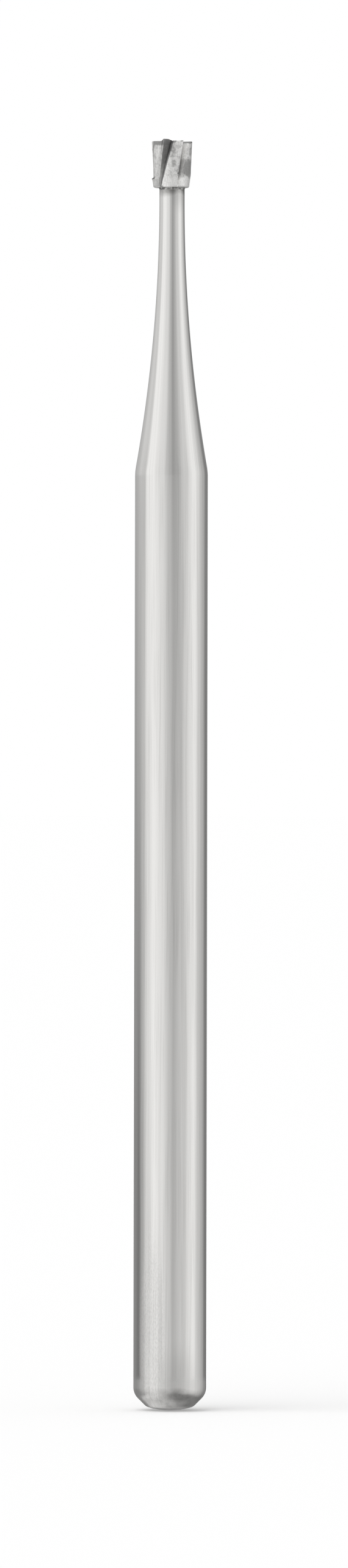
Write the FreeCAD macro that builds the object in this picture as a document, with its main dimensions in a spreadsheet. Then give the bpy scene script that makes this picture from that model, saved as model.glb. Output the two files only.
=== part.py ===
import FreeCAD, Part
import math
import os

import Sketcher

# Dental bur for a straight handpiece, with an inverted-cone carbide head. The axis is Z: the
# origin is the lowest point of the round tail, and the cutting end is at the top. The camera
# side is -Y. Three pieces: the turned steel shank with its long swept neck, the carbide head
# with six ground blades, and the thin brazed joint between them. Millimetres and degrees.

DIMENSIONS = (
    # shank and neck, turned and ground from one steel rod
    ("shank_diameter", 2.35),
    ("shank_length", 30.33),
    ("tail_crown_radius", 2.4),
    ("tail_chamfer", 0.41),
    ("tail_crown_round", 0.3),
    ("tail_edge_round", 0.5),
    ("shoulder_round", 2.0),
    ("neck_diameter", 0.815),
    ("neck_sweep_radius", 50.0),
    ("neck_land", 0.37),
    # brazed joint, a little wider where it wets the head
    ("joint_thickness", 0.07),
    ("joint_flare", 0.02),
    # carbide head: ground cone above, pressed collar below, the collar a little off the axis
    ("head_length", 1.55),
    ("cone_base_diameter", 1.176),
    ("cone_tip_diameter", 1.306),
    ("collar_height", 0.31),
    ("collar_base_diameter", 1.15),
    ("collar_top_diameter", 1.232),
    ("collar_offset", 0.037),
    ("collar_round", 0.06),
    # blades: right-hand twist, and flutes that grow shallower towards the collar
    ("blade_count", 6),
    ("edge_angle", -76.1),
    ("twist_rate", 13.3),
    ("rake_angle", 20.0),
    ("wheel_angle", 48.0),
    ("flute_depth_base", 0.065),
    ("flute_depth_tip", 0.382),
    ("flute_root_round", 0.02),
    ("end_relief_angle", 11.0),
)

FLUTE_SECTIONS = 5
CUTTER_OVERRUN = 0.1  # how far a cutter runs past the ends of the head
CUTTER_MARGIN = 0.3  # how far a cutter stands out beyond a cutting edge
WHEEL_REACH = 1.0  # length of the flute wheel's flank
SAME_PLACE = 1e-3

SHANK_RADIUS = "Sizes.shank_diameter / 2"
NECK_RADIUS = "Sizes.neck_diameter / 2"
CROWN_EDGE = f"({SHANK_RADIUS} - Sizes.tail_chamfer)"
CROWN_HEIGHT = (
    f"(Sizes.tail_crown_radius - sqrt(pow(Sizes.tail_crown_radius; 2) - pow({CROWN_EDGE}; 2)))"
)
NECK_STEP = f"({SHANK_RADIUS} - {NECK_RADIUS})"
SWEEP_LENGTH = f"sqrt(2 * Sizes.neck_sweep_radius * {NECK_STEP} - pow({NECK_STEP}; 2))"
SWEEP_TOP = f"(Sizes.shank_length + {SWEEP_LENGTH})"
NECK_TOP = f"({SWEEP_TOP} + Sizes.neck_land)"
HEAD_FOOT = f"({NECK_TOP} + Sizes.joint_thickness)"
CONE_BASE = "(Sizes.cone_base_diameter / 2)"
CONE_TIP = "(Sizes.cone_tip_diameter / 2)"
BLADE_PITCH = "(360 / Sizes.blade_count)"

doc = FreeCAD.newDocument("dental_bur")
sheet = doc.addObject("Spreadsheet::Sheet", "Sizes")
for row, (alias, number) in enumerate(DIMENSIONS, start=1):
    sheet.set(f"A{row}", alias)
    sheet.set(f"B{row}", str(number))
    sheet.setAlias(f"B{row}", alias)
doc.recompute()


def value(expression):
    """What an expression on the sheet's cells comes to."""
    return float(sheet.evalExpression(expression))


def cone_value(base, tip, height):
    """An expression for a size that changes evenly from the head's foot to its tip."""
    return f"({base} + ({tip} - {base}) * {height} / Sizes.head_length)"


def new_body(label, height):
    """A body whose own origin is on the bur's axis at that height."""
    body = doc.addObject("PartDesign::Body", label)
    body.Label = label
    body.setExpression("Placement.Base.z", height)
    return body


def datum(body, role):
    """One of the body's own origin planes or axes, by its role."""
    return next(feature for feature in body.Origin.OriginFeatures if feature.Role == role)


def new_sketch(body, name, role, offset=None):
    """An empty sketch on one of the body's origin planes, moved off it if an offset is given."""
    sketch = body.newObject("Sketcher::SketchObject", name)
    sketch.AttachmentSupport = [(datum(body, role), "")]
    sketch.MapMode = "FlatFace"
    if offset:
        sketch.setExpression("AttachmentOffset", offset)
    return sketch


def at(x, y):
    """A point of a sketch, from two expressions."""
    return FreeCAD.Vector(value(x), value(y), 0)


def bind(sketch, kind, where, expression):
    """A driving constraint whose value follows an expression."""
    index = sketch.addConstraint(Sketcher.Constraint(kind, *where, value(expression)))
    name = f"{kind}_{index}"
    sketch.renameConstraint(index, name)
    sketch.setExpression(f"Constraints.{name}", expression)


def locate(sketch, geometry, end, x, y):
    """Fixes one end of a line or arc at two expressions, on an axis where one of them is 0."""
    for kind, axis, expression in (("DistanceX", -2, x), ("DistanceY", -1, y)):
        if expression == "0":
            sketch.addConstraint(Sketcher.Constraint("PointOnObject", geometry, end, axis))
        else:
            bind(sketch, kind, (-1, 1, geometry, end), expression)


def nearest_ends(sketch, first, second):
    """Which ends of two neighbouring edges meet."""
    pairs = [(one, other) for one in (1, 2) for other in (1, 2)]
    return min(
        pairs,
        key=lambda ends: (sketch.getPoint(first, ends[0]) - sketch.getPoint(second, ends[1])).Length,
    )


def join(sketch, first, second, kind="Coincident"):
    """Joins two neighbouring edges where they meet."""
    one, other = nearest_ends(sketch, first, second)
    sketch.addConstraint(Sketcher.Constraint(kind, first, one, second, other))


def add_lines(sketch, corners):
    """Straight edges from each corner to the next; corners are pairs of expressions."""
    points = [at(x, y) for x, y in corners]
    return [
        sketch.addGeometry(Part.LineSegment(start, end))
        for start, end in zip(points, points[1:])
    ]


def add_polygon(sketch, corners):
    """A closed outline of straight edges with every corner held by its two expressions."""
    lines = add_lines(sketch, corners + corners[:1])
    for line, following in zip(lines, lines[1:] + lines[:1]):
        sketch.addConstraint(Sketcher.Constraint("Coincident", line, 2, following, 1))
    for line, (x, y) in zip(lines, corners):
        locate(sketch, line, 1, x, y)
    return lines


def revolve(body, sketch, name, axis="V_Axis"):
    """Turns a profile right round an axis of its sketch."""
    feature = body.newObject("PartDesign::Revolution", name)
    feature.Profile = sketch
    feature.ReferenceAxis = (sketch, [axis])
    feature.Angle = 360
    doc.recompute()
    return feature


def round_ring(body, name, radius, height, round_radius):
    """Rounds the full circular edge that has that radius at that height in the body."""
    feature = body.Tip
    edges = [
        f"Edge{number}"
        for number, edge in enumerate(feature.Shape.Edges, start=1)
        if abs(edge.BoundBox.ZMin - value(height)) < SAME_PLACE
        and abs(edge.BoundBox.ZMax - value(height)) < SAME_PLACE
        and abs(edge.BoundBox.XLength / 2 - value(radius)) < SAME_PLACE
    ]
    if len(edges) != 1:
        raise ValueError(f"{name}: {len(edges)} edges found, not one")
    fillet = body.newObject("PartDesign::Fillet", name)
    fillet.Base = (feature, edges)
    fillet.setExpression("Radius", round_radius)
    doc.recompute()


def cut_for_every_blade(body, cut, name):
    """Repeats a cut round the axis, once for each blade, and makes sure that each one cuts."""
    whole = cut.BaseFeature.Shape.Volume
    once = whole - cut.Shape.Volume
    pattern = body.newObject("PartDesign::PolarPattern", name)
    pattern.Originals = [cut]
    pattern.Axis = (datum(body, "Z_Axis"), [""])
    pattern.Angle = 360
    pattern.setExpression("Occurrences", "Sizes.blade_count")
    body.Tip = pattern
    doc.recompute()
    in_all = whole - pattern.Shape.Volume
    if once <= 0 or in_all < (value("Sizes.blade_count") - 1) * once:
        raise RuntimeError(f"{name}: one cut takes {once:.5f} mm3, all of them {in_all:.5f} mm3")


def make_shank():
    """Crowned and chamfered tail, ground cylinder, and the neck drawn in on one long arc."""
    body = new_body("shank", "0")
    sketch = new_sketch(body, "shank_profile", "XZ_Plane")
    chamfer_top = f"({CROWN_HEIGHT} + Sizes.tail_chamfer)"

    crown_middle = f"({CROWN_EDGE} / 2)"
    crown_middle_height = (
        f"(Sizes.tail_crown_radius - sqrt(pow(Sizes.tail_crown_radius; 2) - pow({crown_middle}; 2)))"
    )
    crown = sketch.addGeometry(
        Part.Arc(at("0", "0"), at(crown_middle, crown_middle_height), at(CROWN_EDGE, CROWN_HEIGHT))
    )
    chamfer, cylinder = add_lines(
        sketch,
        [
            (CROWN_EDGE, CROWN_HEIGHT),
            (SHANK_RADIUS, chamfer_top),
            (SHANK_RADIUS, "Sizes.shank_length"),
        ],
    )
    half_way = f"({SWEEP_LENGTH} / 2)"
    half_way_radius = (
        f"({NECK_RADIUS} + Sizes.neck_sweep_radius"
        f" - sqrt(pow(Sizes.neck_sweep_radius; 2) - pow({half_way}; 2)))"
    )
    sweep = sketch.addGeometry(
        Part.Arc(
            at(SHANK_RADIUS, "Sizes.shank_length"),
            at(half_way_radius, f"{SWEEP_TOP} - {half_way}"),
            at(NECK_RADIUS, SWEEP_TOP),
        )
    )
    land, top, axis = add_lines(
        sketch,
        [(NECK_RADIUS, SWEEP_TOP), (NECK_RADIUS, NECK_TOP), ("0", NECK_TOP), ("0", "0")],
    )
    join(sketch, crown, chamfer)
    join(sketch, chamfer, cylinder)
    join(sketch, cylinder, sweep)
    join(sketch, sweep, land, "Tangent")
    join(sketch, land, top)
    join(sketch, top, axis)
    join(sketch, axis, crown)
    sketch.addConstraint(Sketcher.Constraint("Coincident", axis, 2, -1, 1))
    sketch.addConstraint(Sketcher.Constraint("PointOnObject", crown, 3, -2))
    sketch.addConstraint(Sketcher.Constraint("Vertical", axis))
    sketch.addConstraint(Sketcher.Constraint("Vertical", cylinder))
    sketch.addConstraint(Sketcher.Constraint("Vertical", land))
    sketch.addConstraint(Sketcher.Constraint("Horizontal", top))
    bind(sketch, "Radius", (crown,), "Sizes.tail_crown_radius")
    bind(sketch, "Radius", (sweep,), "Sizes.neck_sweep_radius")
    bind(sketch, "DistanceX", (chamfer, 1, chamfer, 2), "Sizes.tail_chamfer")
    bind(sketch, "DistanceY", (chamfer, 1, chamfer, 2), "Sizes.tail_chamfer")
    bind(sketch, "DistanceX", (-1, 1, cylinder, 1), SHANK_RADIUS)
    bind(sketch, "DistanceY", (-1, 1, cylinder, 2), "Sizes.shank_length")
    bind(sketch, "DistanceX", (-1, 1, land, 1), NECK_RADIUS)
    bind(sketch, "DistanceY", (land, 1, land, 2), "Sizes.neck_land")

    revolve(body, sketch, "shank_turned")
    round_ring(body, "crown_corner", CROWN_EDGE, CROWN_HEIGHT, "Sizes.tail_crown_round")
    round_ring(body, "chamfer_corner", SHANK_RADIUS, chamfer_top, "Sizes.tail_edge_round")
    round_ring(body, "shoulder", SHANK_RADIUS, "Sizes.shank_length", "Sizes.shoulder_round")
    return body


def make_joint():
    """Braze metal between the flat end of the neck and the foot of the head."""
    body = new_body("braze_joint", NECK_TOP)
    sketch = new_sketch(body, "joint_profile", "XZ_Plane")
    wide = f"({NECK_RADIUS} + Sizes.joint_flare)"
    thick = "Sizes.joint_thickness"
    bow = f"((pow(Sizes.joint_flare; 2) + pow({thick}; 2)) / (2 * Sizes.joint_flare))"
    middle = f"({NECK_RADIUS} + {bow} - sqrt(pow({bow}; 2) - pow({thick} / 2; 2)))"
    top, axis, bottom = add_lines(sketch, [(wide, thick), ("0", thick), ("0", "0"), (NECK_RADIUS, "0")])
    side = sketch.addGeometry(
        Part.Arc(at(NECK_RADIUS, "0"), at(middle, f"{thick} / 2"), at(wide, thick))
    )
    join(sketch, bottom, side)
    join(sketch, side, top)
    join(sketch, top, axis)
    join(sketch, axis, bottom)
    locate(sketch, top, 1, wide, thick)
    locate(sketch, top, 2, "0", thick)
    locate(sketch, bottom, 2, NECK_RADIUS, "0")
    sketch.addConstraint(Sketcher.Constraint("Coincident", axis, 2, -1, 1))
    sketch.addConstraint(Sketcher.Constraint("PointOnObject", side, 3, -1))
    revolve(body, sketch, "joint_turned")
    return body


def add_blank(body):
    """The head before its flutes: a ground cone, and the pressed collar it was ground from."""
    collar = "Sizes.collar_height"
    cone = new_sketch(body, "cone_profile", "XZ_Plane")
    add_polygon(
        cone,
        [
            ("0", collar),
            (cone_value(CONE_BASE, CONE_TIP, collar), collar),
            (CONE_TIP, "Sizes.head_length"),
            ("0", "Sizes.head_length"),
        ],
    )
    revolve(body, cone, "ground_cone")

    foot = new_sketch(body, "collar_profile", "XZ_Plane")
    centre = "-Sizes.collar_offset"
    base = f"({centre} + Sizes.collar_base_diameter / 2)"
    top = f"({centre} + Sizes.collar_top_diameter / 2)"
    lines = add_polygon(foot, [(centre, "0"), (base, "0"), (top, collar), (centre, collar)])
    turning_axis = foot.addGeometry(Part.LineSegment(at(centre, "0"), at(centre, collar)), True)
    foot.addConstraint(Sketcher.Constraint("Coincident", turning_axis, 1, lines[0], 1))
    foot.addConstraint(Sketcher.Constraint("Coincident", turning_axis, 2, lines[3], 1))
    revolve(body, foot, "collar", "Axis0")
    round_ring(body, "collar_foot", "Sizes.collar_base_diameter / 2", "0", "Sizes.collar_round")


def flute_section(body, number):
    """One cross-section of the flute's grinding wheel, square to the axis of the head.

    Its own X axis runs out through the cutting edge. The rake face leans forward from that
    edge to the root; the wheel's other flank rises from the root to the next blade's heel.
    """
    height = (
        f"(-{CUTTER_OVERRUN} + {number} / {FLUTE_SECTIONS - 1}"
        f" * (Sizes.head_length + 2 * {CUTTER_OVERRUN}))"
    )
    radius = cone_value(CONE_BASE, CONE_TIP, height)
    depth = cone_value("Sizes.flute_depth_base", "Sizes.flute_depth_tip", height)
    turn = f"Sizes.edge_angle + Sizes.twist_rate * {height}"
    flank = "(Sizes.wheel_angle - Sizes.rake_angle)"
    root = (f"({radius} - {depth})", f"({depth} * tan(Sizes.rake_angle))")
    outer = (
        f"({radius} + {CUTTER_MARGIN} * cos(Sizes.rake_angle))",
        f"(-{CUTTER_MARGIN} * sin(Sizes.rake_angle))",
    )
    reach = (
        f"({root[0]} + {WHEEL_REACH} * cos({flank}))",
        f"({root[1]} + {WHEEL_REACH} * sin({flank}))",
    )
    sketch = new_sketch(
        body,
        f"flute_section_{number}",
        "XY_Plane",
        f"placement(vector(0; 0; {height}); rotation({turn}; 0; 0))",
    )
    corner = at(*root)
    rake_way = (at(*outer) - corner).normalize()
    flank_way = (at(*reach) - corner).normalize()
    half_angle = rake_way.getAngle(flank_way) / 2
    round_radius = value("Sizes.flute_root_round")
    setback = round_radius / math.tan(half_angle)
    middle_way = (rake_way + flank_way).normalize()
    middle_set = round_radius * (1 / math.sin(half_angle) - 1)
    first, last = corner + rake_way * setback, corner + flank_way * setback

    rake = sketch.addGeometry(Part.LineSegment(at(*outer), first))
    bend = sketch.addGeometry(Part.Arc(first, corner + middle_way * middle_set, last))
    back = sketch.addGeometry(Part.LineSegment(last, at(*reach)))
    closing = sketch.addGeometry(Part.LineSegment(at(*reach), at(*outer)))
    virtual_root = sketch.addGeometry(Part.Point(corner), True)
    join(sketch, rake, bend, "Tangent")
    join(sketch, bend, back, "Tangent")
    join(sketch, back, closing)
    join(sketch, closing, rake)
    sketch.addConstraint(Sketcher.Constraint("PointOnObject", virtual_root, 1, rake))
    sketch.addConstraint(Sketcher.Constraint("PointOnObject", virtual_root, 1, back))
    locate(sketch, virtual_root, 1, *root)
    locate(sketch, rake, 1, *outer)
    locate(sketch, back, 2, *reach)
    bind(sketch, "Radius", (bend,), "Sizes.flute_root_round")
    return sketch


def cut_flutes(body):
    """Six twisted flutes, right through the cone and fading out down the collar."""
    sections = [flute_section(body, number) for number in range(FLUTE_SECTIONS)]
    doc.recompute()
    flute = body.newObject("PartDesign::SubtractiveLoft", "flute")
    flute.Profile = sections[0]
    flute.Sections = sections[1:]
    flute.Ruled = False
    doc.recompute()
    cut_for_every_blade(body, flute, "flutes")


def cut_end_relief(body):
    """Behind each end cutting edge the end face falls away to the next blade's flute.

    The sketch lies in the falling plane, its X axis along the rake face, so its outline is
    the end of one blade seen from above, stretched by the slope.
    """
    rake = "Sizes.rake_angle"
    relief = "Sizes.end_relief_angle"
    turn = f"Sizes.edge_angle + Sizes.twist_rate * Sizes.head_length - {rake}"
    ahead = f"({CONE_TIP} * sin({rake}))"
    root = f"({CONE_TIP} * cos({rake}) - Sizes.flute_depth_tip / cos({rake}))"
    outside = f"({CONE_TIP} * cos({rake}) + {CUTTER_MARGIN})"

    def in_slope(along, across, turned_back):
        """A corner in the sloping sketch, turned back by one blade if asked."""
        if not turned_back:
            return along, f"({across} / cos({relief}))"
        return (
            f"({along} * cos({BLADE_PITCH}) + {across} * sin({BLADE_PITCH}))",
            f"(({across} * cos({BLADE_PITCH}) - {along} * sin({BLADE_PITCH})) / cos({relief}))",
        )

    sketch = new_sketch(
        body,
        "end_relief_outline",
        "XY_Plane",
        f"placement(vector(0; 0; Sizes.head_length - {ahead} * tan({relief}));"
        f" rotation({turn}; 0; {relief}))",
    )
    add_polygon(
        sketch,
        [
            ("0", "0"),
            in_slope(root, ahead, True),
            in_slope(outside, ahead, True),
            in_slope(outside, ahead, False),
            in_slope(root, ahead, False),
        ],
    )
    doc.recompute()
    cut = body.newObject("PartDesign::Pocket", "end_relief")
    cut.Profile = sketch
    cut.Type = "Length"
    cut.Length = CUTTER_MARGIN
    cut.UseCustomVector = True
    cut.Direction = FreeCAD.Vector(0, 0, 1)
    doc.recompute()
    cut_for_every_blade(body, cut, "end_reliefs")


def make_head():
    """The fluted carbide head, standing on its brazed joint."""
    body = new_body("carbide_head", HEAD_FOOT)
    add_blank(body)
    cut_flutes(body)
    cut_end_relief(body)
    return body


def check_document():
    """Stops if any object failed to build."""
    for item in doc.Objects:
        if "Invalid" in item.State or "Error" in item.State:
            raise RuntimeError(f"{item.Name} did not build: {item.State}")


def export(bodies):
    """Writes each piece to its own file, once its shape is sound."""
    os.makedirs("parts", exist_ok=True)
    for body in bodies:
        shape = body.Shape
        if shape.isNull() or not shape.isValid() or len(shape.Solids) != 1:
            raise RuntimeError(f"{body.Label} is not one sound solid")
        shape.exportStep(os.path.join("parts", f"{body.Label}.step"))
        print(f"{body.Label}: {shape.Volume:.4f} mm3, top at {shape.BoundBox.ZMax:.3f} mm")


pieces = [make_shank(), make_joint(), make_head()]
doc.recompute()
check_document()
export(pieces)
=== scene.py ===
import logging
import math
from dataclasses import dataclass
from enum import Enum

import bpy
import numpy as np
from mathutils import Matrix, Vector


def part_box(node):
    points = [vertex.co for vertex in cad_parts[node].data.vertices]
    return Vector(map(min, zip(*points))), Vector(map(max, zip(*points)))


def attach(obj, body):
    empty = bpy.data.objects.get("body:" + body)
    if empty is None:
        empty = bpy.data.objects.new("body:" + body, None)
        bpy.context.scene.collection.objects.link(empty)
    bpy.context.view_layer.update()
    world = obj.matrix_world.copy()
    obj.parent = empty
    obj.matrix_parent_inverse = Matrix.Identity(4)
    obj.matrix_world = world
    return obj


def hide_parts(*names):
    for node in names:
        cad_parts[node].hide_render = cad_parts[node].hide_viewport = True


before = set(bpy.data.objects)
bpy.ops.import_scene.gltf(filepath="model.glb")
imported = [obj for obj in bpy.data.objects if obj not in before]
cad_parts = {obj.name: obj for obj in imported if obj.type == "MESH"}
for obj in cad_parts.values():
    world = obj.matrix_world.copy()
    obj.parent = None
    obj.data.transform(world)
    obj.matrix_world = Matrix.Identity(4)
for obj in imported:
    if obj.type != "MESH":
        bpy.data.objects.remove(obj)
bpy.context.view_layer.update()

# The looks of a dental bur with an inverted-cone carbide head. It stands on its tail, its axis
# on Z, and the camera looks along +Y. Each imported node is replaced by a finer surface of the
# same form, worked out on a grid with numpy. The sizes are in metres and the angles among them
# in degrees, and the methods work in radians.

MM = 0.001
CREASE_ANGLE = 30.0
NECK_RADIUS = 0.4075 * MM
WHITE = (1.0, 1.0, 1.0, 1.0)

Colour = tuple[float, float, float]
Point = tuple[float, float, float]
# The two ends of a range, and what each becomes, which is 0 and 1 where it isn't given.
Ramp = tuple[float, ...]
# Angle round the axis, from -180 to 180 to the right of the camera, and brightness there.
Tones = tuple[tuple[float, float], ...]

log = logging.getLogger("dental_bur")


class Grain(Enum):
    """How a pattern is drawn out along the axis, as its stretch in X, Y and Z."""

    EVEN = (1.0, 1.0, 1.0)
    SHORT_STREAKS = (1.0, 1.0, 3.0)
    SHORT_LINES = (1.0, 1.0, 9.0)
    LONG_LINES = (1.0, 1.0, 70.0)


class Rays(Enum):
    """Which rays meet a piece of the studio."""

    ALL = "all"
    MIRRORED = "mirrored"


# Surfaces


def arc(centre: complex, start: complex, end: complex, count: int) -> np.ndarray:
    """Points of a circle's arc: the centre plus one radius at evenly spaced angles.

    Args:
        centre: the circle's centre, radius from the axis plus height times i.
        start: the arc's first point.
        end: its last point, reached by the shorter way round.
        count: how many points there are, both ends counted.

    Returns:
        The points as complex numbers.
    """
    turn = np.angle((end - centre) / (start - centre))
    return centre + (start - centre) * np.exp(1j * turn * np.linspace(0.0, 1.0, count))


def round_centre(
    on_line: complex, way: complex, circle: complex, reach: float, radius: float
) -> complex:
    """Centre of a round that touches a line and a circle.

    It lies one radius off the line, to its left, and at the reach from the circle's centre,
    so its place along the line is the root of a quadratic; the root nearer to the given point
    is taken.

    Args:
        on_line: a point of the line, at the corner that is rounded.
        way: the line's direction.
        circle: centre of the circle.
        reach: distance between the two centres.
        radius: radius of the round.

    Returns:
        The centre of the round.
    """
    way /= abs(way)
    offset = on_line + 1j * way * radius
    gap = (offset - circle) * np.conj(way)
    root = math.sqrt(reach**2 - gap.imag**2)
    steps = (-gap.real + root, -gap.real - root)
    return offset + way * min(steps, key=abs)


def turned(profile: np.ndarray, segments: int) -> np.ndarray:
    """A profile turned about the axis: (r cos a, r sin a, z) on a grid of height and angle.

    Args:
        profile: radius plus height times i, from the bottom up.
        segments: how many columns go round.

    Returns:
        Points of shape (rows, segments, 3).
    """
    angle = np.linspace(0.0, 2.0 * np.pi, segments, endpoint=False)[None, :]
    radius, height = profile.real[:, None], profile.imag[:, None]
    return np.stack(
        [radius * np.cos(angle), radius * np.sin(angle), height + 0.0 * angle], axis=-1
    )


def closed_skin(name: str, rings: np.ndarray, bottom: Point, top: Point) -> bpy.types.Object:
    """A closed mesh of stacked rings, with one pole below them and one above.

    Ring by ring, each point is joined to its neighbour and to the ring above by a four-sided
    face, and the first and last rings to the poles by triangles, all facing outwards.

    Args:
        name: name of the piece.
        rings: points of shape (rows, columns, 3), rows upwards, columns anticlockwise.
        bottom: the lower pole.
        top: the upper pole.

    Returns:
        The new object, at the origin, in the scene.
    """
    rows, columns = rings.shape[:2]
    points = np.vstack([rings.reshape(-1, 3), [bottom], [top]])
    number = np.arange(rows * columns).reshape(rows, columns)
    beside = np.roll(number, -1, axis=1)
    sides = np.stack([number[:-1], beside[:-1], beside[1:], number[1:]], axis=-1)
    lower = np.stack([beside[0], number[0], np.full(columns, rows * columns)], axis=-1)
    upper = np.stack([number[-1], beside[-1], np.full(columns, rows * columns + 1)], axis=-1)
    corners = np.concatenate([sides.ravel(), lower.ravel(), upper.ravel()])
    corner_counts = np.repeat([4, 3], [(rows - 1) * columns, 2 * columns])
    starts = np.concatenate([[0], np.cumsum(corner_counts)[:-1]])

    mesh = bpy.data.meshes.new(name)
    mesh.vertices.add(len(points))
    mesh.vertices.foreach_set("co", points.astype(np.float32).ravel())
    mesh.loops.add(len(corners))
    mesh.loops.foreach_set("vertex_index", corners.astype(np.int32))
    mesh.polygons.add(len(starts))
    mesh.polygons.foreach_set("loop_start", starts.astype(np.int32))
    mesh.update(calc_edges=True)
    mesh.validate()
    mesh.shade_smooth()
    mesh.set_sharp_from_angle(angle=math.radians(CREASE_ANGLE))
    piece = bpy.data.objects.new(name, mesh)
    bpy.context.scene.collection.objects.link(piece)
    return piece


def paint(piece: bpy.types.Object, name: str, rings: np.ndarray) -> None:
    """Stores a number or a place for each point of a closed skin; a pole takes its ring's mean.

    Args:
        piece: a piece made by closed_skin.
        name: name of the attribute that a material reads.
        rings: the numbers, of shape (rows, columns), or the places, with three to a point.
    """
    poles = [rings[0].mean(axis=0), rings[-1].mean(axis=0)]
    values = np.concatenate([rings.reshape(-1, *rings.shape[2:]), poles])
    kind, field = ("FLOAT", "value") if values.ndim == 1 else ("FLOAT_VECTOR", "vector")
    attribute = piece.data.attributes.new(name, kind, "POINT")
    attribute.data.foreach_set(field, values.astype(np.float32).ravel())


# Finishes


@dataclass(frozen=True)
class Patch:
    """A soft-edged place on a piece: its centre, its reach each way and how it fades."""

    centre: Point
    reach: Point
    ramp: Ramp


class Bench:
    """Lays out the nodes of one material.

    The numbers are those of a Mix node's two colour sockets and of its coloured output.
    """

    mix_colours: tuple[int, int] = (6, 7)
    mix_result: int = 2

    def __init__(self, name: str) -> None:
        """Starts an empty material.

        Args:
            name: its name.
        """
        self.material = bpy.data.materials.new(name)
        self.material.use_nodes = True
        self.tree = self.material.node_tree
        self.tree.nodes.clear()
        self.place = self.node("ShaderNodeTexCoord").outputs["Object"]

    def node(self, kind: str, **settings: object) -> bpy.types.Node:
        """Adds a node.

        Args:
            kind: Blender's name for such nodes.
            settings: its properties and their values.

        Returns:
            The new node.
        """
        made = self.tree.nodes.new(kind)
        for name, setting in settings.items():
            setattr(made, name, setting)
        return made

    def feed(self, target: bpy.types.NodeSocket, source: bpy.types.NodeSocket | float) -> None:
        """Gives a socket another socket's output, or a plain number.

        Args:
            target: the socket.
            source: what it gets.
        """
        if isinstance(source, bpy.types.NodeSocket):
            self.tree.links.new(source, target)
        else:
            target.default_value = source

    def over(
        self, centre: Point, size: Point, place: bpy.types.NodeSocket | None = None
    ) -> bpy.types.NodeSocket:
        """A place measured from a centre, in units of a size.

        Args:
            centre: where it is measured from.
            size: the unit in each direction.
            place: what is measured, or None for the place on the piece.

        Returns:
            The measured place.
        """
        mapping = self.node("ShaderNodeMapping", vector_type="TEXTURE")
        self.feed(mapping.inputs["Vector"], place or self.place)
        mapping.inputs["Location"].default_value = centre
        mapping.inputs["Scale"].default_value = size
        return mapping.outputs["Vector"]

    def noise(
        self,
        size: float,
        grain: Grain = Grain.EVEN,
        detail: float = 2.0,
        shift: float = 0.0,
        place: bpy.types.NodeSocket | None = None,
    ) -> bpy.types.NodeSocket:
        """Soft noise whose spots are about one size wide, drawn out by the grain.

        Args:
            size: width of a spot.
            grain: how the spots are stretched along the axis.
            detail: how many finer layers are added.
            shift: moves the pattern, so that two layers differ.
            place: the place it follows, or None for the place on the piece.

        Returns:
            The noise, from 0 to 1 with 0.5 as its mean.
        """
        stretched = tuple(size * part for part in grain.value)
        made = self.node("ShaderNodeTexNoise")
        self.feed(made.inputs["Vector"], self.over((shift, shift, shift), stretched, place))
        made.inputs["Scale"].default_value = 1.0
        made.inputs["Detail"].default_value = detail
        return made.outputs[0]

    def near(self, patch: Patch) -> bpy.types.NodeSocket:
        """How much a patch covers: 1 at its centre falls evenly to 0 at its reach, then its ramp.

        Args:
            patch: the patch.

        Returns:
            What its ramp makes of the nearness.
        """
        made = self.node("ShaderNodeTexGradient", gradient_type="SPHERICAL")
        self.feed(made.inputs["Vector"], self.over(patch.centre, patch.reach))
        return self.between(made.outputs["Fac"], *patch.ramp)

    def along(self, axis: str) -> bpy.types.NodeSocket:
        """Measures the place on the piece along one axis.

        Args:
            axis: X, Y or Z.

        Returns:
            The place along it, in metres.
        """
        made = self.node("ShaderNodeSeparateXYZ")
        self.feed(made.inputs["Vector"], self.place)
        return made.outputs[axis]

    def painted(self, name: str, output: str = "Fac") -> bpy.types.NodeSocket:
        """The number, or with "Vector" the place, that was painted on the piece by that name."""
        return self.node("ShaderNodeAttribute", attribute_name=name).outputs[output]

    def math(
        self,
        operation: str,
        first: bpy.types.NodeSocket | float,
        second: bpy.types.NodeSocket | float = 0.0,
    ) -> bpy.types.NodeSocket:
        """Works one number out from two.

        Args:
            operation: Blender's name for the sum.
            first: the first number.
            second: the second number.

        Returns:
            The result, kept from 0 to 1.
        """
        made = self.node("ShaderNodeMath", operation=operation, use_clamp=True)
        self.feed(made.inputs[0], first)
        self.feed(made.inputs[1], second)
        return made.outputs[0]

    def between(
        self,
        value: bpy.types.NodeSocket,
        low: float,
        high: float,
        low_gives: float = 0.0,
        high_gives: float = 1.0,
    ) -> bpy.types.NodeSocket:
        """Carries one range smoothly over to another and holds its ends.

        Args:
            value: what is carried over.
            low: the lower end of its range.
            high: the upper end.
            low_gives: what the lower end becomes.
            high_gives: what the upper end becomes.

        Returns:
            The new number.
        """
        made = self.node("ShaderNodeMapRange", interpolation_type="SMOOTHSTEP")
        for name, source in (
            ("Value", value),
            ("From Min", low),
            ("From Max", high),
            ("To Min", low_gives),
            ("To Max", high_gives),
        ):
            self.feed(made.inputs[name], source)
        return made.outputs["Result"]

    def tint(
        self,
        share: bpy.types.NodeSocket,
        first: bpy.types.NodeSocket | Colour,
        second: bpy.types.NodeSocket | Colour,
        kind: str = "MIX",
    ) -> bpy.types.NodeSocket:
        """Lays one colour over another.

        Args:
            share: how much of the second colour there is.
            first: the colour below.
            second: the colour on top.
            kind: how they are mixed.

        Returns:
            The colour.
        """
        made = self.node("ShaderNodeMix", data_type="RGBA", blend_type=kind)
        self.feed(made.inputs[0], share)
        for index, source in zip(self.mix_colours, (first, second)):
            if isinstance(source, bpy.types.NodeSocket):
                self.feed(made.inputs[index], source)
            else:
                made.inputs[index].default_value = (*source, 1.0)
        return made.outputs[self.mix_result]

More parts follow.
